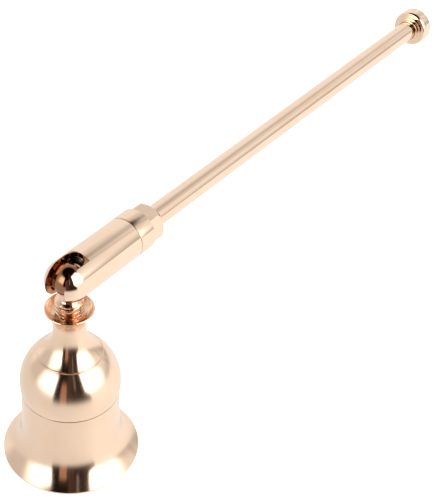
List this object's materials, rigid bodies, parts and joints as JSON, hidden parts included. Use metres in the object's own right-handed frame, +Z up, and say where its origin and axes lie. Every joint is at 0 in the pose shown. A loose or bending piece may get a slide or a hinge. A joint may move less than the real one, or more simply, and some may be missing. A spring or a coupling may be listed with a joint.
{
  "type": "candle snuffer",
  "caption": "Candle snuffer with a flared bell on a ball swivel at the end of a slim tubular handle with a hexagonal collar and an end knob.",
  "frame": {"origin": "centre of the object's box at the plane that the bell's rim stands on", "axes": "+Z up along the bell's axis, +X along the handle from the bell to the knob"},
  "size_m": [0.1598, 0.0294, 0.0526],
  "materials": {
    "bell_plate": "polished rose gold plating",
    "stud_plate": "polished rose gold plating",
    "handle_plate": "polished rose gold plating",
    "rod_plate": "polished rose gold plating",
    "bare_steel": "plain turned steel"
  },
  "bodies": {
    "handle": {"swivel_socket": "handle_plate", "ball_follower": "bare_steel", "follower_spring": "bare_steel", "handle_collar": "handle_plate", "handle_rod": "rod_plate", "collar_plug": "bare_steel", "knob_plug": "bare_steel", "end_knob": "handle_plate"},
    "ball": {"swivel_ball": "stud_plate"},
    "bell": {"bell_cup": "bell_plate", "neck_cap": "bell_plate", "swivel_stud": "stud_plate", "bell_washer": "bare_steel", "bell_nut": "bare_steel"}
  },
  "joints": [
    {"name": "bell_tilt", "type": "hinge", "parent": "handle", "child": "ball", "pos_m": [-0.06517, 0, 0.0481], "axis": [0, 1, 0], "range_deg": [-3.3, 190.42]},
    {"name": "bell_spin", "type": "hinge", "parent": "ball", "child": "bell", "pos_m": [-0.06517, 0, 0.0481], "axis": [0, 0, 1], "continuous": true}
  ]
}
